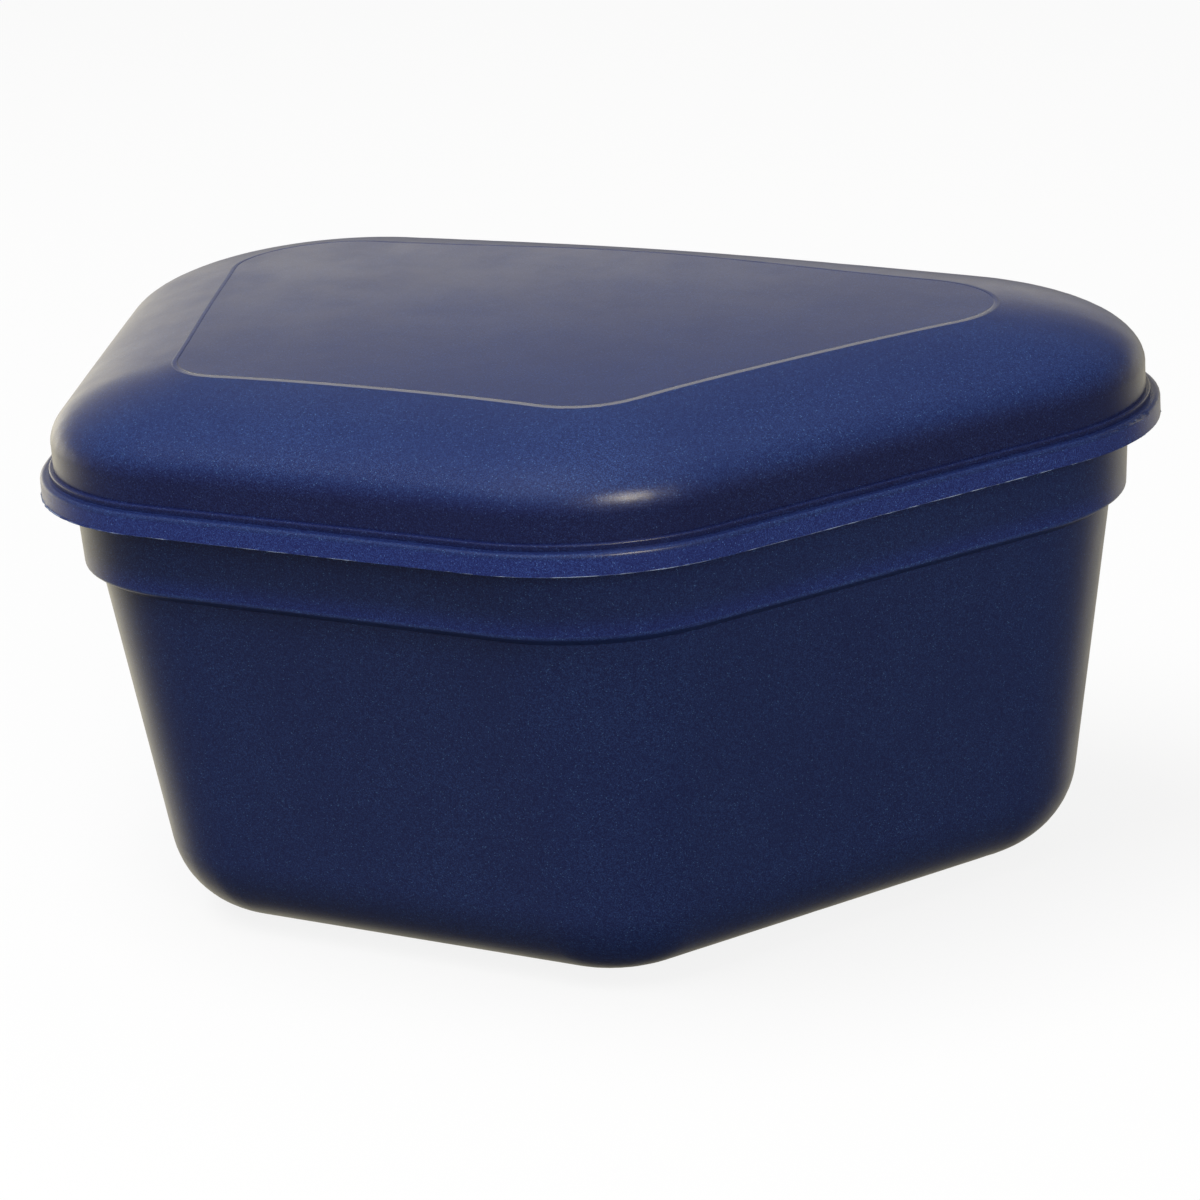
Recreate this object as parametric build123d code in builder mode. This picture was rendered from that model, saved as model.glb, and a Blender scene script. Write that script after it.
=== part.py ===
"""A denture soaking case: a tub, the strainer basket that hangs in it, and a lid that slips over its rim.

All three are thin-walled injection mouldings with drafted walls.  Their plan is one rounded trapezoid,
narrow at the front (-Y) and wide at the back (+Y).  Every other outline is that one moved inwards, so each
inset below is measured from the outer edge of the lid's flange.  The origin is the middle of the foot, with
Z up.  All sizes are in millimetres and all angles in degrees.
"""

import math
import os

from build123d import *

# ---- Plan of the case at the edge of the lid's flange; the widths run between the sharp corners ----
FRONT_WIDTH = 58.5
BACK_WIDTH = 130.5
DEPTH = 75.0
FRONT_CORNER = 20.2
BACK_CORNER = 21.6

# ---- Walls and clearances ----
TUB_WALL = 1.5
LID_WALL = 1.3
STRAINER_WALL = 1.2
RIM_CLEARANCE = 0.3
BEAD_CLEARANCE = 0.08
STRAINER_CLEARANCE = 0.9
EDGE_ROUND = 0.3

# ---- Tub: a drafted body under a wider collar, with a rim that stands up inside the lid ----
STEP_HEIGHT = 33.0
STEP_INSET = 4.65
BODY_DRAFT = 8.5
BASE_ROUND = 8.6
LEDGE_RISE = 0.9
LEDGE_RUN = 1.45
RIM_RISE = 3.0
FOOT_RING = 4.0
FOOT_RECESS = 0.6
FOOT_CORNER = 4.0

# ---- Snap bead on the rim, and the groove in the lid that it clicks into ----
BEAD_RISE = 1.2
BEAD_WIDTH = 1.0
GROOVE_DEPTH = 0.2

# ---- Lid: flange, crest, upright skirt, round shoulder, sloping apron and crowned top; the peak is the level
# that the apron would reach if the crown did not cut it off ----
FLANGE_HEIGHT = 40.3
FLANGE_THICKNESS = 1.9
FLANGE_ROUND = 0.45
CREST_INSET = 0.85
CREST_RISE = 0.55
CREST_ROUND = 0.2
SKIRT_INSET = 1.25
SKIRT_RISE = 2.5
LEAD_IN = 0.4
LEAD_IN_TAPER = 45.0
CROWN_RISE = 7.44
CROWN_RADIUS = 764.0
CROWN_PLACE = 12.4
PEAK_MARGIN = 0.25
PEAK_INSET = 23.5
PEAK_BACK_INSET = 27.1
PEAK_FRONT_CORNER = 0.9
PEAK_BACK_CORNER = 3.7
PEAK_FRONT_BOW = 2.2
PEAK_SIDE_BOW = 3.5
PEAK_BACK_BOW = 10.2
APRON_SLOPE = 5.1
APRON_REACH = 22.0
SHOULDER_REACH = 1.38
DOME_SECTIONS = 10
DOME_CROWDING = 1.2
STOP_RIBS_PER_SIDE = 2
STOP_RIB_THICKNESS = 1.2
STOP_RIB_REACH = 2.4

# ---- Strainer: a perforated basket with two lifting tabs ----
SEAT_RISE = 1.5
STRAINER_RIM_THICKNESS = 1.4
STRAINER_FOOT_GAP = 2.5
STRAINER_ROUND = 6.0
DRAIN_HOLE = 4.0
DRAIN_PITCH = 8.5
DRAIN_MARGIN = 1.5
SLOT_WIDTH = 3.0
SLOT_LENGTH = 11.0
SLOT_PITCH = 8.5
SLOT_DROP = 5.0
TAB_WIDTH = 17.0
TAB_CLEARANCE = 2.3
TAB_CORNER = 4.0
GRIP_HEIGHT = 1.4
GRIP_DEPTH = 1.0

# ---- Levels, insets and angles that follow from the sizes above ----
FLARE = (BACK_WIDTH - FRONT_WIDTH) / 2 / DEPTH
BODY_LEAN = math.tan(math.radians(BODY_DRAFT))
FOOT_ROUND_REACH = math.tan(math.radians((90 - BODY_DRAFT) / 2))
FLANGE_TOP = FLANGE_HEIGHT + FLANGE_THICKNESS
RIM_HEIGHT = FLANGE_TOP + RIM_RISE
BEAD_HEIGHT = FLANGE_TOP + BEAD_RISE
SKIRT_HEIGHT = FLANGE_TOP + SKIRT_RISE
TOP_HEIGHT = SKIRT_HEIGHT + CROWN_RISE
PEAK_HEIGHT = TOP_HEIGHT + PEAK_MARGIN
BORE_INSET = SKIRT_INSET + LID_WALL
RIM_INSET = BORE_INSET + RIM_CLEARANCE
LEDGE_TOP = STEP_HEIGHT + LEDGE_RISE
LEDGE_INSET = STEP_INSET - LEDGE_RUN
LEDGE_TAPER = math.degrees(math.atan2(LEDGE_RUN, LEDGE_RISE))
COLLAR_TAPER = math.degrees(math.atan2(LEDGE_INSET - RIM_INSET, FLANGE_HEIGHT - LEDGE_TOP))
BEAD_INSET = BORE_INSET + BEAD_CLEARANCE
BEAD_TAPER = math.degrees(math.atan2(RIM_INSET - BEAD_INSET, BEAD_WIDTH / 2))
GROOVE_TAPER = math.degrees(math.atan2(GROOVE_DEPTH, BEAD_WIDTH / 2))
FLOOR_HEIGHT = FOOT_RECESS + TUB_WALL
FOOT_INSET = STEP_INSET + STEP_HEIGHT * BODY_LEAN + BASE_ROUND * FOOT_ROUND_REACH
SEAT_HEIGHT = STEP_HEIGHT + SEAT_RISE
SEAT_INSET = RIM_INSET + TUB_WALL
WELL_INSET = STEP_INSET + TUB_WALL - SEAT_RISE * BODY_LEAN
STRAINER_RIM_INSET = SEAT_INSET + STRAINER_CLEARANCE / 2
STRAINER_INSET = WELL_INSET + STRAINER_CLEARANCE
STRAINER_TOP = SEAT_HEIGHT + STRAINER_RIM_THICKNESS
TAB_HEIGHT = RIM_HEIGHT - TAB_CLEARANCE - SEAT_HEIGHT
STRAINER_FOOT = FLOOR_HEIGHT + STRAINER_FOOT_GAP
STRAINER_FLOOR = STRAINER_FOOT + STRAINER_WALL
BASKET_INSET = STRAINER_INSET + STRAINER_WALL
BASKET_ROUND = STRAINER_ROUND - STRAINER_WALL
BASKET_FOOT_INSET = BASKET_INSET + (SEAT_HEIGHT - STRAINER_FLOOR) * BODY_LEAN
BASKET_FLOOR_INSET = BASKET_FOOT_INSET + BASKET_ROUND * FOOT_ROUND_REACH
SLOT_HEIGHT = SEAT_HEIGHT - SLOT_DROP - SLOT_LENGTH / 2
SLOT_INSET = STRAINER_INSET + (SEAT_HEIGHT - SLOT_HEIGHT) * BODY_LEAN


def case_outline(
    level: float,
    inset: float,
    front_corner: float | None = None,
    back_corner: float | None = None,
    back_inset: float | None = None,
    bows: tuple[float, float, float] = (0.0, 0.0, 0.0),
) -> Sketch:
    """The plan of the case at a height, moved inwards.

    The corners shrink with the inset, and the back moves in as far as the other sides, unless they are
    given.  Bows are how far the middles of the front, the sides and the back stand out past the corners.
    """
    front_corner = FRONT_CORNER - inset if front_corner is None else front_corner
    back_corner = BACK_CORNER - inset if back_corner is None else back_corner
    back_inset = inset if back_inset is None else back_inset
    front = -DEPTH / 2 + inset
    back = DEPTH / 2 - back_inset
    front_reach = FRONT_WIDTH / 2 + inset * (FLARE - math.hypot(1, FLARE))
    back_reach = front_reach + (back - front) * FLARE
    front_bow, side_bow, back_bow = bows
    corners = [Vector(-front_reach, front), Vector(front_reach, front)]
    corners += [Vector(back_reach, back), Vector(-back_reach, back)]
    with BuildSketch(Plane.XY.offset(level)) as outline:
        with BuildLine():
            for side, bow in enumerate((front_bow, side_bow, back_bow, side_bow)):
                start, end = corners[side], corners[(side + 1) % 4]
                if bow:
                    outward = (end - start).normalized().cross(Vector(0, 0, 1))
                    ThreePointArc(start, (start + end) / 2 + outward * bow, end)
                else:
                    Line(start, end)
        make_face()
        fillet(outline.vertices().group_by(Axis.Y)[0], front_corner)
        fillet(outline.vertices().group_by(Axis.Y)[-1], back_corner)
    return outline.sketch


def wall_planes(
    level: float, inset: float, count: int | None = None, pitch: float | None = None
) -> list[Plane]:
    """Planes that stand on an outline's straight sides: X runs along the side, Y up and Z outwards.

    Each side gets either a count of planes, evenly shared out, or as many as fit at a pitch.
    """
    planes = []
    for side in case_outline(level, inset).edges().filter_by(GeomType.LINE):
        number = count or max(1, int(side.length // pitch))
        gap = 1 / number if count else pitch / side.length
        for place in range(number):
            spot = side @ (0.5 + (place - (number - 1) / 2) * gap)
            outward = (side % 0.5).cross(Vector(0, 0, 1))
            if outward.dot(spot - Vector(0, 0, level)) < 0:
                outward = -outward
            planes.append(Plane(origin=spot, x_dir=Vector(0, 0, 1).cross(outward), z_dir=outward))
    return planes


# The lid's profile at its corners, from the top of its upright skirt round the shoulder and up the apron to the
# peak: X is the inset and Y the height.
with BuildLine() as lid_profile:
    Bezier(
        (SKIRT_INSET, SKIRT_HEIGHT),
        (SKIRT_INSET, SKIRT_HEIGHT + SHOULDER_REACH),
        (PEAK_INSET - APRON_REACH, PEAK_HEIGHT - APRON_REACH * math.tan(math.radians(APRON_SLOPE))),
        (PEAK_INSET, PEAK_HEIGHT),
    )


def dome_outlines(wall: float) -> list[Sketch]:
    """Outlines up the lid's profile, a wall's thickness inside it and closer together round the shoulder.

    Towards the top the corners tighten and all four sides bow out, so that the crease where the crown cuts
    them off runs straight along each side.
    """
    outlines = []
    for section in range(DOME_SECTIONS + 1):
        along = (section / DOME_SECTIONS) ** DOME_CROWDING
        spot = lid_profile.line @ along
        lean = lid_profile.line % along
        climb = (spot.X - SKIRT_INSET) / (PEAK_INSET - SKIRT_INSET)
        inwards = wall * lean.Y
        outlines.append(
            case_outline(
                level=spot.Y - wall * lean.X,
                inset=spot.X + inwards,
                front_corner=(1 - climb) * (FRONT_CORNER - SKIRT_INSET) + climb * PEAK_FRONT_CORNER - inwards,
                back_corner=(1 - climb) * (BACK_CORNER - SKIRT_INSET) + climb * PEAK_BACK_CORNER - inwards,
                back_inset=(1 - climb) * SKIRT_INSET + climb * PEAK_BACK_INSET + inwards,
                bows=(climb * PEAK_FRONT_BOW, climb * PEAK_SIDE_BOW, climb * PEAK_BACK_BOW),
            )
        )
    return outlines


# ---- Tub ----
with BuildPart() as tub_well:
    extrude(case_outline(SEAT_HEIGHT, WELL_INSET), amount=FLOOR_HEIGHT - SEAT_HEIGHT, taper=BODY_DRAFT)
    fillet(tub_well.faces().sort_by(Axis.Z)[0].edges(), BASE_ROUND - TUB_WALL)
    extrude(case_outline(SEAT_HEIGHT, SEAT_INSET), amount=RIM_HEIGHT - SEAT_HEIGHT)

with BuildPart() as tub:
    extrude(case_outline(STEP_HEIGHT, STEP_INSET), amount=-STEP_HEIGHT, taper=BODY_DRAFT)
    fillet(tub.faces().sort_by(Axis.Z)[0].edges(), BASE_ROUND)
    extrude(case_outline(STEP_HEIGHT, STEP_INSET), amount=LEDGE_RISE, taper=-LEDGE_TAPER)
    extrude(case_outline(LEDGE_TOP, LEDGE_INSET), amount=FLANGE_HEIGHT - LEDGE_TOP, taper=-COLLAR_TAPER)
    fillet(tub.edges().filter_by_position(Axis.Z, LEDGE_TOP, LEDGE_TOP), EDGE_ROUND)
    extrude(case_outline(FLANGE_HEIGHT, RIM_INSET), amount=RIM_HEIGHT - FLANGE_HEIGHT)
    extrude(case_outline(BEAD_HEIGHT, BEAD_INSET), amount=BEAD_WIDTH / 2, both=True, taper=BEAD_TAPER)
    add(tub_well.part, mode=Mode.SUBTRACT)
    fillet(tub.faces().sort_by(Axis.Z)[-1].edges(), EDGE_ROUND)
    extrude(
        case_outline(0, FOOT_INSET + FOOT_RING, FOOT_CORNER, FOOT_CORNER),
        amount=FOOT_RECESS,
        mode=Mode.SUBTRACT,
    )
tub.part.label = "tub"

# ---- Lid ----
crown_centre = (0, CROWN_PLACE, TOP_HEIGHT - CROWN_RADIUS)

with BuildPart() as lid_hollow:
    extrude(case_outline(FLANGE_HEIGHT, BORE_INSET), amount=SKIRT_HEIGHT - FLANGE_HEIGHT)
    loft(dome_outlines(LID_WALL))
    with Locations(crown_centre):
        Sphere(CROWN_RADIUS - LID_WALL, mode=Mode.INTERSECT)
    for wall_plane in wall_planes(RIM_HEIGHT, BORE_INSET, count=STOP_RIBS_PER_SIDE):
        with BuildSketch(wall_plane):
            Rectangle(STOP_RIB_THICKNESS, TOP_HEIGHT - RIM_HEIGHT, align=(Align.CENTER, Align.MIN))
        extrude(amount=STOP_RIB_REACH, both=True, mode=Mode.SUBTRACT)
    extrude(case_outline(FLANGE_HEIGHT, BORE_INSET - LEAD_IN), amount=LEAD_IN, taper=LEAD_IN_TAPER)
    extrude(
        case_outline(BEAD_HEIGHT, BORE_INSET - GROOVE_DEPTH),
        amount=BEAD_WIDTH / 2,
        both=True,
        taper=GROOVE_TAPER,
    )

with BuildPart() as lid:
    extrude(case_outline(FLANGE_HEIGHT, 0), amount=FLANGE_THICKNESS)
    fillet(lid.faces().sort_by(Axis.Z)[-1].edges(), FLANGE_ROUND)
    extrude(case_outline(FLANGE_TOP, CREST_INSET), amount=CREST_RISE)
    fillet(lid.faces().sort_by(Axis.Z)[-1].edges(), CREST_ROUND)
    extrude(case_outline(FLANGE_TOP, SKIRT_INSET), amount=SKIRT_HEIGHT - FLANGE_TOP)
    loft(dome_outlines(0))
    with Locations(crown_centre):
        Sphere(CROWN_RADIUS, mode=Mode.INTERSECT)
    add(lid_hollow.part, mode=Mode.SUBTRACT)
lid.part.label = "lid"

# ---- Strainer ----
with BuildPart() as basket_hollow:
    extrude(case_outline(STRAINER_TOP, BASKET_INSET), amount=SEAT_HEIGHT - STRAINER_TOP)
    extrude(case_outline(SEAT_HEIGHT, BASKET_INSET), amount=STRAINER_FLOOR - SEAT_HEIGHT, taper=BODY_DRAFT)
    fillet(basket_hollow.faces().sort_by(Axis.Z)[0].edges(), BASKET_ROUND)

drain_field = case_outline(
    STRAINER_FOOT, BASKET_FLOOR_INSET + DRAIN_MARGIN + DRAIN_HOLE / 2, DRAIN_HOLE, DRAIN_HOLE
).face()
drain_grid = HexLocations(
    DRAIN_PITCH / 2, 1 + 2 * int(BACK_WIDTH / 2 // DRAIN_PITCH), 1 + 2 * int(DEPTH / 2 // DRAIN_PITCH)
)
drain_places = [
    place
    for place in drain_grid.local_locations
    if drain_field.is_inside(place.position + (0, 0, STRAINER_FOOT))
]

with BuildPart() as strainer:
    extrude(case_outline(SEAT_HEIGHT, STRAINER_INSET), amount=STRAINER_FOOT - SEAT_HEIGHT, taper=BODY_DRAFT)
    fillet(strainer.faces().sort_by(Axis.Z)[0].edges(), STRAINER_ROUND)
    extrude(case_outline(SEAT_HEIGHT, STRAINER_RIM_INSET), amount=STRAINER_RIM_THICKNESS)
    add(basket_hollow.part, mode=Mode.SUBTRACT)
    fillet(strainer.faces().sort_by(Axis.Z)[-1].edges(), EDGE_ROUND)
    for wall_plane in wall_planes(SLOT_HEIGHT, SLOT_INSET, pitch=SLOT_PITCH):
        with BuildSketch(wall_plane):
            SlotOverall(SLOT_LENGTH, SLOT_WIDTH, rotation=90)
        extrude(amount=STRAINER_WALL + SLOT_LENGTH * BODY_LEAN, both=True, mode=Mode.SUBTRACT)
    with BuildSketch(Plane.XY.offset(STRAINER_FOOT)):
        with Locations(*drain_places):
            Circle(DRAIN_HOLE / 2)
    extrude(amount=STRAINER_WALL, mode=Mode.SUBTRACT)
    for wall_plane in wall_planes(SEAT_HEIGHT, STRAINER_RIM_INSET, count=1):
        if abs(wall_plane.z_dir.X) > abs(wall_plane.z_dir.Y):
            with BuildSketch(wall_plane) as tab:
                Rectangle(TAB_WIDTH, TAB_HEIGHT, align=(Align.CENTER, Align.MIN))
                fillet(tab.vertices().group_by(Axis.Y)[-1], TAB_CORNER)
            extrude(amount=-STRAINER_WALL)
            with BuildSketch(wall_plane.offset(-STRAINER_WALL)):
                with Locations((0, TAB_HEIGHT)):
                    Rectangle(TAB_WIDTH - 2 * TAB_CORNER, GRIP_HEIGHT, align=(Align.CENTER, Align.MAX))
            extrude(amount=-GRIP_DEPTH)
strainer.part.label = "strainer"

os.makedirs("parts", exist_ok=True)
export_step(tub.part, "parts/tub.step")
export_step(lid.part, "parts/lid.step")
export_step(strainer.part, "parts/strainer.step")
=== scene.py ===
"""Looks of a denture soaking case: a pearl navy tub, its strainer basket and its lift-off lid."""

import logging
import math
from dataclasses import dataclass
from enum import Enum

import bmesh
import bpy
from mathutils import Matrix, Vector, noise


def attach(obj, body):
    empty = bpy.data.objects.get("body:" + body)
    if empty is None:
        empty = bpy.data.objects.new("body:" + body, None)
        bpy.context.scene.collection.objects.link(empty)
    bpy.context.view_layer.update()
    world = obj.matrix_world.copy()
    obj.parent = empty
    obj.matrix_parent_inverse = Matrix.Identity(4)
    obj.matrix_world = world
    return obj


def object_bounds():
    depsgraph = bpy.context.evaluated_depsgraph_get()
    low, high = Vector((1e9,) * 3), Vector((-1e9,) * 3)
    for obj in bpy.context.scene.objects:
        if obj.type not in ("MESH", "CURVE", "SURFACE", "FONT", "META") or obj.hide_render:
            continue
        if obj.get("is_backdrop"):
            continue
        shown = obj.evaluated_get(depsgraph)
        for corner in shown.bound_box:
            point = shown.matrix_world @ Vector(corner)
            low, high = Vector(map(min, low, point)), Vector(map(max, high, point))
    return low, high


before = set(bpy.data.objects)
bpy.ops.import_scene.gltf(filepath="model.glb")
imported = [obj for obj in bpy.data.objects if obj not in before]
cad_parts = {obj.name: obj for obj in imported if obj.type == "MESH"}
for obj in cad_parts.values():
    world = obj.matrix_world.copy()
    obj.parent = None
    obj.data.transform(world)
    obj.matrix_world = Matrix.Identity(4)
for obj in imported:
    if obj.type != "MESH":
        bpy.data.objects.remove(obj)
CAD_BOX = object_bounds()

MM = 0.001
FULL_TURN = 360.0
PATCH_START, PATCH_END = 0.3, 0.7
LOG = logging.getLogger("denture_case")

Colour = tuple[float, float, float]
Profile = tuple[tuple[float, float], ...]
Socket = bpy.types.NodeSocket
WHITE: Colour = (1.0, 1.0, 1.0)


class Skin(Enum):
    """How a face of the mould was left, which the moulding copies."""

    ETCHED = "etched"
    POLISHED = "polished"


class Role(Enum):
    """What a lamp does: fills the matt part of the light, or draws a highlight in the gloss."""

    FILL = "fill"
    HIGHLIGHT = "highlight"


class Graph:
    """A shader node tree while it is being wired."""

    def __init__(self, tree: bpy.types.NodeTree) -> None:
        """Empties the tree.

        Args:
            tree: the node tree of a material or of the world.
        """
        tree.nodes.clear()
        self.tree = tree

    def add(self, kind: str, inputs: dict | None = None, **settings: object) -> bpy.types.Node:
        """Adds a node.

        Args:
            kind: the node's type without its ShaderNode prefix.
            inputs: input socket to its constant, or to the output socket that drives it.
            settings: the node's own properties.

        Returns:
            The new node.
        """
        node = self.tree.nodes.new("ShaderNode" + kind)
        for name, value in settings.items():
            setattr(node, name, value)
        for name, value in (inputs or {}).items():
            socket = node.inputs[name]
            if isinstance(value, Socket):
                self.tree.links.new(value, socket)
            elif socket.type == "RGBA" and len(value) == 3:
                socket.default_value = (*value, 1.0)
            else:
                socket.default_value = value
        return node

    def math(self, operation: str, first: object, second: object = 0.0) -> Socket:
        """Adds a math node.

        Args:
            operation: the node's operation.
            first: its first value or the socket that gives it.
            second: its second value or the socket that gives it.

        Returns:
            The result's socket.
        """
        return self.add("Math", {0: first, 1: second}, operation=operation).outputs[0]

    def step(self, value: Socket, start: float, end: float, low: float = 0.0, high: float = 1.0) -> Socket:
        """Adds a smooth step from one value to another.

        Args:
            value: the socket that is read.
            start: where the step begins.
            end: where it ends.
            low: the result before the start.
            high: the result after the end.

        Returns:
            The result's socket.
        """
        limits = {"Value": value, "From Min": start, "From Max": end, "To Min": low, "To Max": high}
        return self.add("MapRange", limits, interpolation_type="SMOOTHSTEP").outputs["Result"]

    def blend(self, share: object, first: object, second: object, kind: str = "FLOAT") -> Socket:
        """Adds a mix of two numbers or of two colours.

        Args:
            share: how much of the second shows, or the socket that gives it.
            first: the value at 0, or its socket.
            second: the value at 1, or its socket.
            kind: FLOAT for numbers, MIX for colours, or the way in which the colours combine.

        Returns:
            The result's socket.
        """
        if kind == "FLOAT":
            return self.add("Mix", {0: share, 2: first, 3: second}, data_type="FLOAT").outputs[0]
        mixed = self.add("Mix", {0: share, 6: first, 7: second}, data_type="RGBA", blend_type=kind)
        return mixed.outputs[2]

    def noise(self, place: Socket, size: float, detail: float, roughness: float = 0.5) -> Socket:
        """Adds a noise.

        Args:
            place: the socket that gives the place.
            size: the width of its largest patches in metres.
            detail: how many finer layers it has.
            roughness: how strong the finer layers are.

        Returns:
            The socket of its value.
        """
        inputs = {"Vector": place, "Scale": 1 / size, "Detail": detail, "Roughness": roughness}
        return self.add("TexNoise", inputs).outputs["Fac"]


@dataclass(frozen=True)
class PaintedLightBelt:
    """A belt round a moulding where its colour is scaled, to paint light or shade there."""

    low: float
    high: float
    fade_low: float
    fade_high: float
    gain: Colour

    def lift(self, graph: Graph, place: Socket, colour: Socket) -> Socket:
        """Scales a colour within the belt: painted light where the gain is above 1, painted shade where it
        is below 1.

        Args:
            graph: the material's tree.
            place: the socket of the place on the object.
            colour: the socket of the colour.

        Returns:
            The socket of the colour with its painted light or shade.
        """
        height = graph.add("SeparateXYZ", {"Vector": place}).outputs["Z"]
        above = graph.step(height, self.low - self.fade_low, self.low + self.fade_low)
        below = graph.step(height, self.high - self.fade_high, self.high + self.fade_high, 1.0, 0.0)
        return graph.blend(graph.math("MULTIPLY", above, below), colour, self.gain, "MULTIPLY")


@dataclass(frozen=True)
class PaintedCreaseHighlight:
    """A painted highlight on a crease: a pale colour and a lower roughness along its front and right-hand
    runs.
    """

    left_end: float = -22.5 * MM
    left_full: float = -18.0 * MM
    back_end: float = 20.0 * MM
    back_full: float = 10.0 * MM
    # The pale colour painted on the crease as its highlight.
    colour: Colour = (0.20, 0.20, 0.24)
    highlight_roughness: float = 0.20
    dusty_roughness: float = 0.40

    def share(self, graph: Graph, place: Socket) -> Socket:
        """Wires how strongly the crease carries the painted highlight.

        Args:
            graph: the material's tree.
            place: the socket of the place on the object.

        Returns:
            The socket of the share, 1 where the painted highlight is strongest.
        """
        parts = graph.add("SeparateXYZ", {"Vector": place}).outputs
        left = graph.step(parts["X"], self.left_end, self.left_full)
        back = graph.step(parts["Y"], self.back_full, self.back_end, 1.0, 0.0)
        return graph.math("MULTIPLY", left, back)


@dataclass(frozen=True)
class PearlPlastic:
    """Navy moulding compound with a fine pearl flake."""

    name: str
    skin: Skin = Skin.ETCHED
    # Belts where light or shade is painted into the colour.
    painted_light_belts: tuple[PaintedLightBelt, ...] = ()
    # A painted highlight along creases.
    crease_highlight: PaintedCreaseHighlight | None = None
    pigment: Colour = (0.0115, 0.0195, 0.100)
    flake: Colour = (0.0340, 0.0740, 0.245)
    # Glints: sparse pale specks in the base colour, partly pale flake, partly a painted glint in place of
    # sparkle.
    glint: Colour = (0.07, 0.15, 0.34)
    flake_size: float = 0.070 * MM
    flake_start: float = 0.35
    flake_share: float = 0.72
    glint_share: float = 0.010
    cloud_size: float = 11.0 * MM
    cloud_thin: float = 0.80
    cloud_thick: float = 1.15
    scuff_size: float = 7.0 * MM
    scuff_glossier: float = 0.02
    scuff_duller: float = 0.03
    etch_size: float = 0.077 * MM

    @property
    def roughness(self) -> float:
        """Gives the roughness of the skin."""
        return {Skin.ETCHED: 0.30, Skin.POLISHED: 0.22}[self.skin]

    @property
    def grain(self) -> float:
        """Gives the depth of the skin's grain in metres."""
        return {Skin.ETCHED: 0.0030, Skin.POLISHED: 0.0008}[self.skin] * MM

    def material(self) -> bpy.types.Material:
        """Makes the material.

        Returns:
            A node material with the flake, the grain, a painted highlight on creases and light scuffs.
        """
        made = bpy.data.materials.new(self.name)
        made.use_nodes = True
        graph = Graph(made.node_tree)
        place = graph.add("TexCoord").outputs["Object"]
        colour = self.speckle(graph, place)
        # Belts of painted light and painted shade.
        for painted_light_belt in self.painted_light_belts:
            colour = painted_light_belt.lift(graph, place, colour)
        scuffs = graph.noise(place, self.scuff_size, detail=5.0, roughness=0.65)
        glossy, dull = self.roughness - self.scuff_glossier, self.roughness + self.scuff_duller
        dullness = graph.step(scuffs, PATCH_START, PATCH_END, glossy, dull)
        if self.crease_highlight:
            # Painted highlight: the crease turns pale, and glossier, along its front and right-hand runs.
            painted_highlight = self.crease_highlight.share(graph, place)
            colour = graph.blend(painted_highlight, colour, self.crease_highlight.colour, "MIX")
            dullness = graph.blend(painted_highlight, self.crease_highlight.dusty_roughness, self.crease_highlight.highlight_roughness)
        etch = graph.noise(place, self.etch_size, detail=1.0)
        bump = graph.add("Bump", {"Height": etch, "Distance": self.grain})
        looks = {"Base Color": colour, "Roughness": dullness, "Normal": bump.outputs["Normal"]}
        shader = graph.add("BsdfPrincipled", looks)
        graph.add("OutputMaterial", {"Surface": shader.outputs["BSDF"]})
        return made

    def speckle(self, graph: Graph, place: Socket) -> Socket:
        """Wires the pigment with its flake.

        Args:
            graph: the material's tree.
            place: the socket of the place on the object.

        Returns:
            The socket of the colour.
        """
        cells = graph.add("TexVoronoi", {"Vector": place, "Scale": 1 / self.flake_size})
        lots = graph.add("SeparateColor", {"Color": cells.outputs["Color"]})
        drift = graph.noise(place, self.cloud_size, detail=3.0, roughness=0.6)
        cloud = graph.step(drift, PATCH_START, PATCH_END, self.cloud_thin, self.cloud_thick)
        flaked = graph.step(lots.outputs["Red"], self.flake_start, 1.0, 0.0, self.flake_share)
        colour = graph.blend(graph.math("MULTIPLY", flaked, cloud), self.pigment, self.flake, "MIX")
        # Sparse specks that are partly pale flake, partly a painted glint.
        glinting = graph.math("GREATER_THAN", lots.outputs["Green"], 1 - self.glint_share)
        return graph.blend(glinting, colour, self.glint, "MIX")


@dataclass(frozen=True)
class StressedPlastic:
    """The same compound where it is drawn out thin and has turned pale."""

    name: str
    pale: Colour = (0.26, 0.32, 0.48)
    dull: Colour = (0.035, 0.055, 0.18)
    patch: float = 1.6 * MM
    patch_start: float = 0.40
    patch_end: float = 0.60
    roughness: float = 0.70

    def material(self) -> bpy.types.Material:
        """Makes the material.

        Returns:
            A node material that goes from pale to dull in patches.
        """
        made = bpy.data.materials.new(self.name)
        made.use_nodes = True
        graph = Graph(made.node_tree)
        place = graph.add("TexCoord").outputs["Object"]
        drift = graph.noise(place, self.patch, detail=2.0)
        patches = graph.step(drift, self.patch_start, self.patch_end)
        colour = graph.blend(patches, self.dull, self.pale, "MIX")
        shader = graph.add("BsdfPrincipled", {"Base Color": colour, "Roughness": self.roughness})
        graph.add("OutputMaterial", {"Surface": shader.outputs["BSDF"]})
        return made


def dress(node: str, finish: bpy.types.Material) -> None:
    """Gives a CAD node a finish.

    Args:
        node: the node's name.
        finish: the material that takes the place of its own.
    """
    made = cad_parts[node]
    made.data.materials.clear()
    made.data.materials.append(finish)
    LOG.info("%s: %s", node, finish.name)


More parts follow.
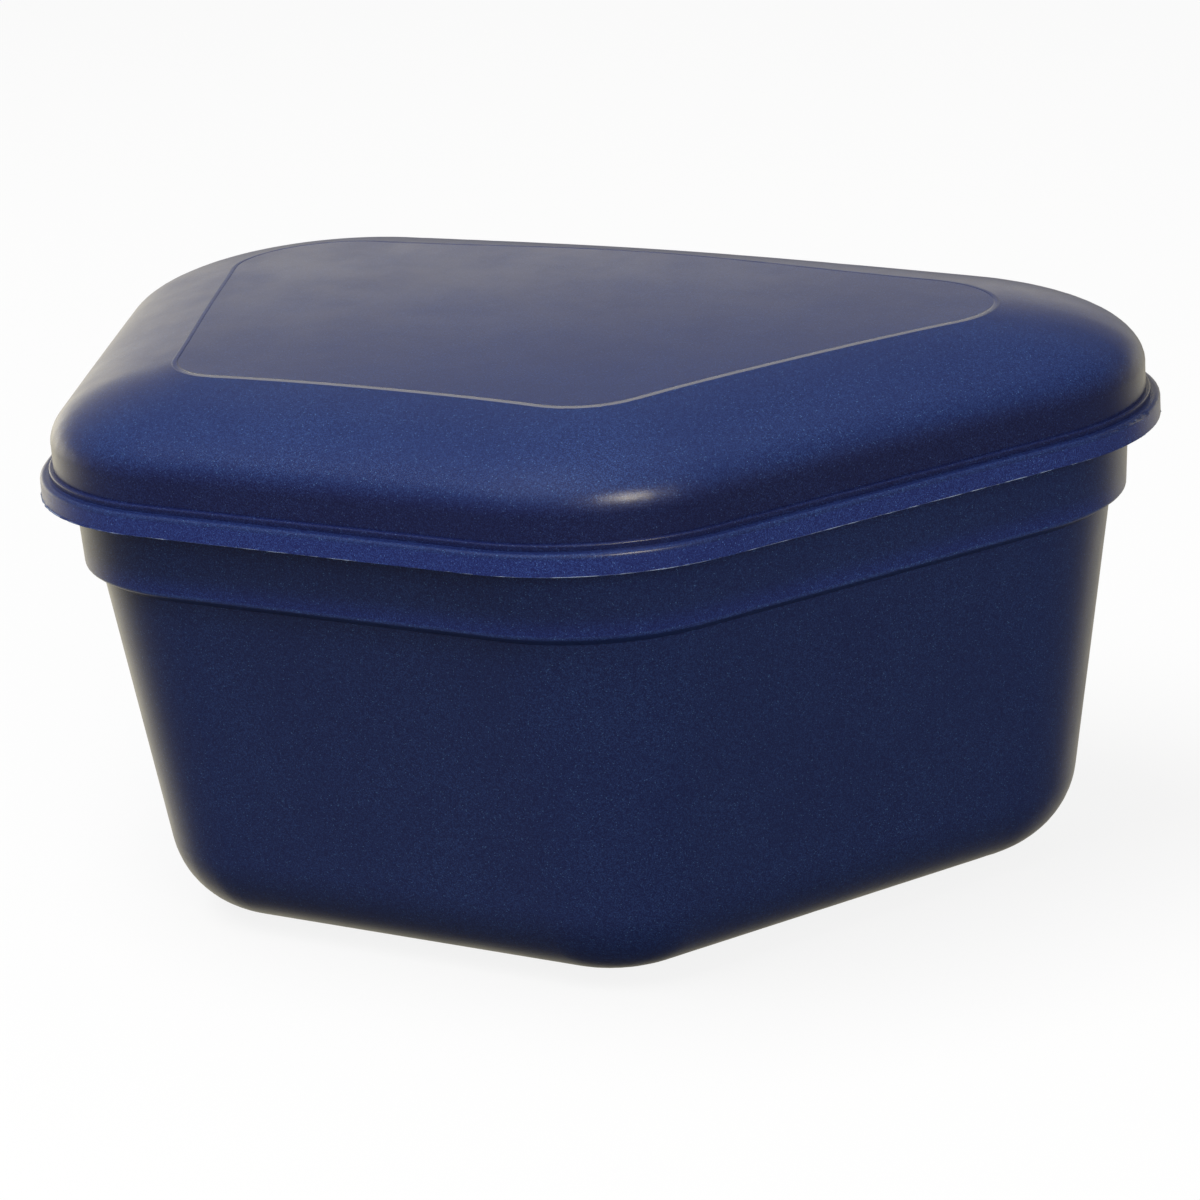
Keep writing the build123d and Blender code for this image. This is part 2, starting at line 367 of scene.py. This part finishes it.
@dataclass
class Tub:
    """The tub that holds the soaking water, with its wide collar above a ledge."""

    node: str = "tub"
    ledge: float = 34.2 * MM
    ledge_edge: float = 0.1 * MM
    collar_height: float = 0.9 * MM
    collar_fade: float = 1.2 * MM
    # Painted glow: the collar's colour is lifted and made bluer just above the ledge.
    collar_painted_glow: Colour = (1.25, 1.20, 1.50)
    corner_height: float = 0.5 * MM
    corner_fade: float = 0.3 * MM
    # Painted light: lifts the colour just under the ledge, where the ledge casts shade.
    under_ledge_painted_light: Colour = (1.70, 1.70, 1.60)

    def dress(self) -> None:
        """Gives the tub its etched skin, with a painted glow on the collar where it meets the ledge and
        painted light lifting the shade just under the ledge.
        """
        top, foot = self.ledge + self.collar_height, self.ledge - self.corner_height
        # Painted glow on the collar above the ledge.
        glow = PaintedLightBelt(self.ledge, top, self.ledge_edge, self.collar_fade, self.collar_painted_glow)
        # Painted light that lifts the shade just under the ledge.
        shade = PaintedLightBelt(foot, self.ledge, self.corner_fade, self.ledge_edge, self.under_ledge_painted_light)
        dress(self.node, PearlPlastic("navy_pearl_tub", painted_light_belts=(glow, shade)).material())


@dataclass
class Strainer:
    """The basket that lifts the denture out of the water."""

    node: str = "strainer"

    def dress(self) -> None:
        """Gives the strainer its polished skin."""
        dress(self.node, PearlPlastic("navy_pearl_strainer", Skin.POLISHED).material())


@dataclass
class Lid:
    """The lid, whose flange was trimmed along a parting line and kept a thread of flash."""

    node: str = "lid"
    body: str = "lid"
    flange_low: float = 40.3 * MM
    flange_face: float = 41.8 * MM
    flange_high: float = 42.2 * MM
    flange_fade: float = 0.15 * MM
    # Painted glow: the thin flange's colour is lifted and made bluer, as if light came through it.
    flange_painted_glow: Colour = (1.55, 1.45, 1.70)
    skirt_high: float = 46.0 * MM
    skirt_fade_low: float = 0.08 * MM
    skirt_fade_high: float = 1.0 * MM
    # Painted shade: the skirt above the flange is darkened.
    skirt_painted_shade: Colour = (0.72, 0.60, 0.70)
    rim_band: float = 0.01 * MM
    weld: float = 0.0001 * MM
    crown_radius: float = 764.0 * MM
    crown_place: float = 12.4 * MM
    crown_slip: float = 0.003 * MM
    crease_width: float = 0.60 * MM
    crease_rise: float = 0.008 * MM
    crease_sink: float = 0.003 * MM
    crease_depth: float = 0.12 * MM
    crease_flank: float = 0.7
    flash_reach: float = 0.14 * MM
    flash_root: float = 0.10 * MM
    flash_thick: float = 0.07 * MM
    flash_step: float = 0.25 * MM
    flash_tatter: float = 0.9 * MM
    flash_spell: float = 14.0 * MM
    flash_tilt: float = 0.35
    flash_mean: float = 0.45
    flash_spell_share: float = 1.1
    flash_tatter_share: float = 0.75
    flash_least: float = -0.2

    def dress(self) -> None:
        """Gives the lid its etched skin, with a painted glow in the thin flange and painted shade on the
        skirt above it.
        """
        fade = self.flange_fade
        # Painted glow in the flange.
        flange = PaintedLightBelt(self.flange_low, self.flange_face, fade, fade, self.flange_painted_glow)
        fades = self.skirt_fade_low, self.skirt_fade_high
        # Painted shade on the skirt.
        skirt = PaintedLightBelt(self.flange_high, self.skirt_high, *fades, self.skirt_painted_shade)
        dress(self.node, PearlPlastic("navy_pearl_lid", painted_light_belts=(flange, skirt)).material())

    def rim(self) -> list[Vector]:
        """Follows the flange's lower outer edge.

        Returns:
            Points round the edge, evenly spaced.
        """
        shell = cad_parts[self.node].data
        low = min(point.co.z for point in shell.vertices)
        ring = [point.co.copy() for point in shell.vertices if point.co.z < low + self.rim_band]
        furthest = {}
        for point in ring:
            heading = round(math.atan2(point.y, point.x), 4)
            if heading not in furthest or furthest[heading].length < point.length:
                furthest[heading] = point
        return spread(hull(list(furthest.values())), self.flash_step)

    def crease(self) -> list[tuple[Vector, Vector, Vector]]:
        """Follows the crease where the crowned panel turns down into the apron.

        Returns:
            Points round the crease, each with the normals of the panel and of the apron.
        """
        centre = Vector((0.0, self.crown_place, CAD_BOX[1].z - self.crown_radius))
        shell = bmesh.new()
        shell.from_mesh(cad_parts[self.node].data)
        bmesh.ops.remove_doubles(shell, verts=shell.verts, dist=self.weld)
        crowned = {
            corner
            for corner in shell.verts
            if abs((corner.co - centre).length - self.crown_radius) < self.crown_slip
        }
        panel = {face for face in shell.faces if crowned.issuperset(face.verts)}
        steps, aprons = {}, {}
        for edge in shell.edges:
            inner = [face for face in edge.link_faces if face in panel]
            outer = [face for face in edge.link_faces if face not in panel]
            if len(inner) == 1 and len(outer) == 1:
                for corner in edge.verts:
                    steps.setdefault(corner, []).append(edge.other_vert(corner))
                    aprons.setdefault(corner, []).append(outer[0].normal)
        first = max(steps, key=lambda corner: corner.co.x)
        chain = [first, steps[first][0]]
        while chain[-1] is not first:
            chain.append(next(corner for corner in steps[chain[-1]] if corner is not chain[-2]))
        line = [
            (corner.co.copy(), (corner.co - centre).normalized(), sum(aprons[corner], Vector()).normalized())
            for corner in chain[:-1]
        ]
        shell.free()
        return line

    def build_crease(self) -> bpy.types.Object:
        """Builds the rounded bead that the mould left on the crease.

        Returns:
            The bead's object, riding on the lid.
        """
        line = self.crease()
        sections = []
        for index, (point, panel, apron) in enumerate(line):
            along = (line[(index + 1) % len(line)][0] - line[index - 1][0]).normalized()
            top = (panel + apron).normalized()
            inward, outward = panel.cross(along), along.cross(apron)
            if inward.dot(outward) > 0 or inward.dot(Vector((0.0, self.crown_place, point.z)) - point) < 0:
                inward, outward = -inward, -outward
            half, flank = self.crease_width / 2, self.crease_flank * self.crease_rise
            sections.append(
                [
                    point + half * inward - self.crease_sink * panel,
                    point + half / 2 * inward + flank * panel,
                    point + self.crease_rise * top,
                    point + half / 2 * outward + flank * apron,
                    point + half * outward - self.crease_sink * apron,
                    point - self.crease_depth * top,
                ]
            )
        # The bead's finish carries the painted crease highlight.
        finish = PearlPlastic("navy_pearl_crease", Skin.POLISHED, crease_highlight=PaintedCreaseHighlight()).material()
        return loop_of("lid_crease", sections, finish, self.body)

    def build_flash(self) -> bpy.types.Object:
        """Builds the ragged thread of flash round the flange.

        Returns:
            The flash's object, riding on the lid.
        """
        points = self.rim()
        sections = []
        for index, point in enumerate(points):
            along = points[(index + 1) % len(points)] - points[index - 1]
            out = Vector((along.y, -along.x, 0.0)).normalized()
            spell = noise.noise(point / self.flash_spell)
            fine = noise.noise(3 * point / self.flash_tatter)
            tatter = noise.noise(point / self.flash_tatter) + 0.5 * fine
            share = self.flash_mean + self.flash_spell_share * spell + self.flash_tatter_share * tatter
            reach = self.flash_reach * max(self.flash_least, min(1.0, share))
            tip = point + out * reach + Vector((0.0, 0.0, self.flash_tilt * self.flash_thick))
            root = point - out * self.flash_root
            sections.append([root, tip, root + Vector((0.0, 0.0, self.flash_thick))])
        return loop_of("lid_flash", sections, StressedPlastic("stressed_edge").material(), self.body)


def spread(corners: list[Vector], step: float) -> list[Vector]:
    """Places points evenly along a closed line.

    Args:
        corners: the line's corners in order.
        step: the distance between the points.

    Returns:
        Points on the line about one step apart.
    """
    points = []
    for start, end in zip(corners, corners[1:] + corners[:1]):
        count = max(1, round((end - start).length / step))
        points += [start.lerp(end, index / count) for index in range(count)]
    return points


def loop_of(
    name: str, sections: list[list[Vector]], finish: bpy.types.Material, body: str
) -> bpy.types.Object:
    """Skins a closed ring of sections and hangs it on a body.

    Args:
        name: the piece's name.
        sections: the corners of each section, in the same order all round.
        finish: the piece's material.
        body: the body that it rides on.

    Returns:
        The piece.
    """
    sheet = bmesh.new()
    rings = [[sheet.verts.new(corner) for corner in section] for section in sections]
    for ring, following in zip(rings, rings[1:] + rings[:1]):
        for corner in range(len(ring)):
            after = (corner + 1) % len(ring)
            sheet.faces.new((ring[corner], following[corner], following[after], ring[after])).smooth = True
    bmesh.ops.recalc_face_normals(sheet, faces=sheet.faces)
    mesh = bpy.data.meshes.new(name)
    sheet.to_mesh(mesh)
    sheet.free()
    mesh.materials.append(finish)
    piece = bpy.data.objects.new(name, mesh)
    bpy.context.scene.collection.objects.link(piece)
    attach(piece, body)
    LOG.info("%s: %d sections", name, len(sections))
    return piece


def hull(points: list[Vector]) -> list[Vector]:
    """Finds the outline round points that lie in a level plane.

    Args:
        points: the points.

    Returns:
        The outline's corners, anticlockwise from above.
    """
    ordered = sorted(points, key=lambda point: (point.x, point.y))
    halves = []
    for run in (ordered, ordered[::-1]):
        half = []
        for point in run:
            while len(half) > 1 and (half[-1] - half[-2]).cross(point - half[-1]).z <= 0:
                half.pop()
            half.append(point)
        halves.append(half[:-1])
    return halves[0] + halves[1]


@dataclass
class ProductCamera:
    """A long lens that looks slightly down at the case's front corner; its angles are in radians."""

    azimuth: float = 0.5462
    elevation: float = 0.3070
    roll: float = -0.0668
    distance: float = 374.67 * MM
    target: tuple[float, float, float] = (11.2 * MM, -8.26 * MM, 28.55 * MM)
    lens: float = 127.8
    sensor: float = 36.0
    near: float = 0.01
    far: float = 20.0

    def place(self) -> bpy.types.Object:
        """Makes the scene's camera.

        Returns:
            The camera's object.
        """
        lens = bpy.data.cameras.new("product_camera")
        lens.lens, lens.sensor_width = self.lens, self.sensor
        lens.clip_start, lens.clip_end = self.near, self.far
        back = bearing(math.degrees(self.azimuth), math.degrees(self.elevation))
        right = Vector((0, 0, 1)).cross(back).normalized()
        up = back.cross(right)
        turn, tilt = math.cos(self.roll), math.sin(self.roll)
        axes = Matrix((turn * right + tilt * up, turn * up - tilt * right, back)).transposed()
        camera = bpy.data.objects.new("product_camera", lens)
        stand = Matrix.Translation(Vector(self.target) + back * self.distance)
        camera.matrix_world = stand @ axes.to_4x4()
        bpy.context.scene.collection.objects.link(camera)
        bpy.context.scene.camera = camera
        return camera


def bearing(azimuth: float, elevation: float) -> Vector:
    """Turns two angles into a direction.

    Args:
        azimuth: degrees from the front, growing towards the right.
        elevation: degrees above the floor.

    Returns:
        The unit vector.
    """
    across, above = math.radians(azimuth), math.radians(elevation)
    return Vector((math.sin(across) * math.cos(above), -math.cos(across) * math.cos(above), math.sin(above)))


@dataclass
class Lamp:
    """A soft lamp that faces the case, with its angles in degrees, sizes in metres and power in watts."""

    name: str
    azimuth: float
    elevation: float
    distance: float
    width: float
    height: float
    power: float
    colour: Colour = WHITE
    role: Role = Role.FILL

    def hang(self, target: Vector) -> bpy.types.Object:
        """Hangs the lamp.

        Args:
            target: the point that it faces.

        Returns:
            The lamp's object.
        """
        light = bpy.data.lights.new(self.name, "AREA")
        light.shape, light.size, light.size_y = "RECTANGLE", self.width, self.height
        light.energy, light.color = self.power, self.colour
        towards = bearing(self.azimuth, self.elevation)
        lamp = bpy.data.objects.new(self.name, light)
        lamp.location = target + towards * self.distance
        lamp.rotation_euler = towards.to_track_quat("Z", "Y").to_euler()
        lamp.visible_camera = False
        lamp.visible_glossy = self.role is Role.HIGHLIGHT
        lamp.visible_diffuse = self.role is Role.FILL
        bpy.context.scene.collection.objects.link(lamp)
        LOG.info("%s: %.1f W", self.name, self.power)
        return lamp


# Each side of the room: elevation in degrees, and how bright the gloss finds it there.
FRONT: Profile = (
    (-90, 0.05), (-40, 0.14), (-10, 0.14), (15, 0.12),
    (35, 0.18), (50, 0.40), (70, 0.55), (90, 0.60),
)
RIGHT: Profile = (
    (-90, 0.04), (-40, 0.10), (-10, 0.14), (15, 0.12),
    (38, 0.08), (55, 0.22), (75, 0.48), (90, 0.60),
)
BACK_RIGHT: Profile = (
    (-60, 0.04), (-40, 0.35), (-14, 0.80), (-2, 1.00), (4, 0.90), (8, 0.50), (13, 0.22), (18, 0.12),
    (27, 0.14), (32, 0.22), (37, 0.14), (48, 0.18), (60, 0.40), (75, 0.52), (90, 0.60),
)
BACK: Profile = (
    (-55, 0.05), (-40, 0.45), (-14, 0.90), (-8, 0.12), (3, 0.12), (6, 1.75), (11, 1.70), (13, 0.25),
    (16, 0.08), (24, 0.08), (32, 0.30), (37, 0.24), (46, 0.22), (60, 0.40), (75, 0.52), (90, 0.60),
)
BACK_LEFT: Profile = (
    (-55, 0.05), (-40, 0.80), (-14, 1.40), (-5, 2.60), (4, 2.60), (8, 1.10), (14, 0.50), (20, 0.40),
    (27, 0.34), (40, 0.22), (52, 0.26), (60, 0.40), (75, 0.52), (90, 0.60),
)
LEFT: Profile = ((-90, 0.04), (-50, 0.10), (-15, 0.20), (30, 0.20), (50, 0.30), (75, 0.52), (90, 0.60))


@dataclass
class Studio:
    """A pale floor, a lit sweep behind the case, a darker room in front, and soft lamps."""

    floor_size: float = 12.0
    floor_gap: float = 0.02 * MM
    floor_colour: Colour = (0.13, 0.13, 0.13)
    floor_glow: float = 0.86
    ambient: float = 0.30
    low_tint: Colour = (1.0, 0.93, 0.72)
    high_tint: Colour = (0.80, 0.96, 1.10)
    tint_low: float = 20.0
    tint_high: float = 40.0
    room: tuple[tuple[float, Profile], ...] = (
        (0.0, FRONT),
        (110.0, RIGHT),
        (142.0, RIGHT),
        (176.0, BACK_RIGHT),
        (212.0, BACK),
        (236.0, BACK_LEFT),
        (290.0, LEFT),
        (330.0, FRONT),
    )
    lamps: tuple[Lamp, ...] = (
        Lamp("overhead_softbox", -34.0, 68.0, 0.9, 0.7, 0.7, 7.1),
        Lamp("front_softbox", 50.0, 18.0, 1.2, 0.6, 0.5, 4.7, (1.0, 0.98, 0.86)),
        Lamp("warm_spot", 52.0, 40.0, 1.2, 0.20, 0.34, 5.0, (1.0, 0.89, 0.64), Role.HIGHLIGHT),
    )

    def light(self) -> None:
        """Hangs the lamps and sets the world."""
        low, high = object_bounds()
        for lamp in self.lamps:
            lamp.hang((low + high) / 2)
        world = bpy.data.worlds.new("room")
        bpy.context.scene.world = world
        world.use_nodes = True
        graph = Graph(world.node_tree)
        path = graph.add("LightPath").outputs
        brightness, hue = self.surroundings(graph)
        mirrored = graph.blend(path["Is Glossy Ray"], self.ambient, brightness)
        tint = graph.blend(path["Is Glossy Ray"], WHITE, hue, "MIX")
        shown = graph.math("MAXIMUM", path["Is Camera Ray"], path["Is Transmission Ray"])
        level = graph.blend(shown, mirrored, 1.0)
        tint = graph.blend(shown, tint, WHITE, "MIX")
        shade = graph.add("Background", {"Color": tint, "Strength": level})
        graph.add("OutputWorld", {"Surface": shade.outputs["Background"]})

    def surroundings(self, graph: Graph) -> tuple[Socket, Socket]:
        """Wires how the room looks in each direction, as the gloss shows it.

        Args:
            graph: the world's tree.

        Returns:
            The sockets of the brightness and of the hue.
        """
        heading = graph.add("TexCoord").outputs["Generated"]
        parts = graph.add("SeparateXYZ", {"Vector": heading}).outputs
        ahead = graph.math("MULTIPLY", parts["Y"], -1.0)
        turned = graph.math("DIVIDE", graph.math("ARCTAN2", parts["X"], ahead), 2 * math.pi)
        turned = graph.math("FRACT", graph.math("ADD", turned, 1.0))
        height = graph.add("MapRange", {"Value": parts["Z"], "From Min": -1.0}).outputs["Result"]
        level = self.profile(graph, height, self.room[0][1])
        for (before, _), (azimuth, profile) in zip(self.room, self.room[1:]):
            share = graph.step(turned, before / FULL_TURN, azimuth / FULL_TURN)
            level = graph.blend(share, level, self.profile(graph, height, profile))
        start, end = (math.sin(math.radians(angle)) for angle in (self.tint_low, self.tint_high))
        share = graph.step(parts["Z"], start, end)
        return level, graph.blend(share, self.low_tint, self.high_tint, "MIX")

    def profile(self, graph: Graph, height: Socket, profile: Profile) -> Socket:
        """Wires one side of the room from the floor to the ceiling.

        Args:
            graph: the world's tree.
            height: the socket of the sine of the elevation, from 0 straight down to 1 straight up.
            profile: elevations in degrees with the brightness there.

        Returns:
            The socket of the brightness.
        """
        ramp = graph.add("ValToRGB", {"Fac": height})
        stops = ramp.color_ramp.elements
        for index, (elevation, brightness) in enumerate(profile):
            at = (math.sin(math.radians(elevation)) + 1) / 2
            stop = stops[index] if index < 2 else stops.new(at)
            stop.position, stop.color = at, (brightness, brightness, brightness, 1.0)
        return ramp.outputs["Color"]

    def lay_floor(self) -> bpy.types.Object:
        """Lays the floor.

        Returns:
            The floor's object.
        """
        mesh = bpy.data.meshes.new("floor")
        sheet = bmesh.new()
        bmesh.ops.create_grid(sheet, x_segments=1, y_segments=1, size=self.floor_size / 2)
        sheet.to_mesh(mesh)
        sheet.free()
        floor = bpy.data.objects.new("floor", mesh)
        floor.location.z = -self.floor_gap
        floor.visible_glossy = False
        bpy.context.scene.collection.objects.link(floor)
        paper = bpy.data.materials.new("paper")
        paper.use_nodes = True
        graph = Graph(paper.node_tree)
        matt = graph.add("BsdfDiffuse", {"Color": self.floor_colour})
        seen = graph.add("LightPath").outputs["Is Camera Ray"]
        strength = graph.math("MULTIPLY", seen, self.floor_glow)
        glow = graph.add("Emission", {"Color": WHITE, "Strength": strength})
        both = graph.add("AddShader", {0: matt.outputs["BSDF"], 1: glow.outputs["Emission"]})
        graph.add("OutputMaterial", {"Surface": both.outputs["Shader"]})
        mesh.materials.append(paper)
        floor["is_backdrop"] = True
        return floor


def main() -> None:
    """Builds the looks in order and reports each piece."""
    logging.basicConfig(level=logging.INFO, format="%(message)s")
    lid = Lid()
    for piece in (Tub(), Strainer(), lid):
        piece.dress()
    lid.build_crease()
    lid.build_flash()
    studio = Studio()
    studio.lay_floor()
    studio.light()
    ProductCamera().place()
    bpy.context.scene.view_settings.view_transform = "Standard"


if __name__ == "__main__":
    main()
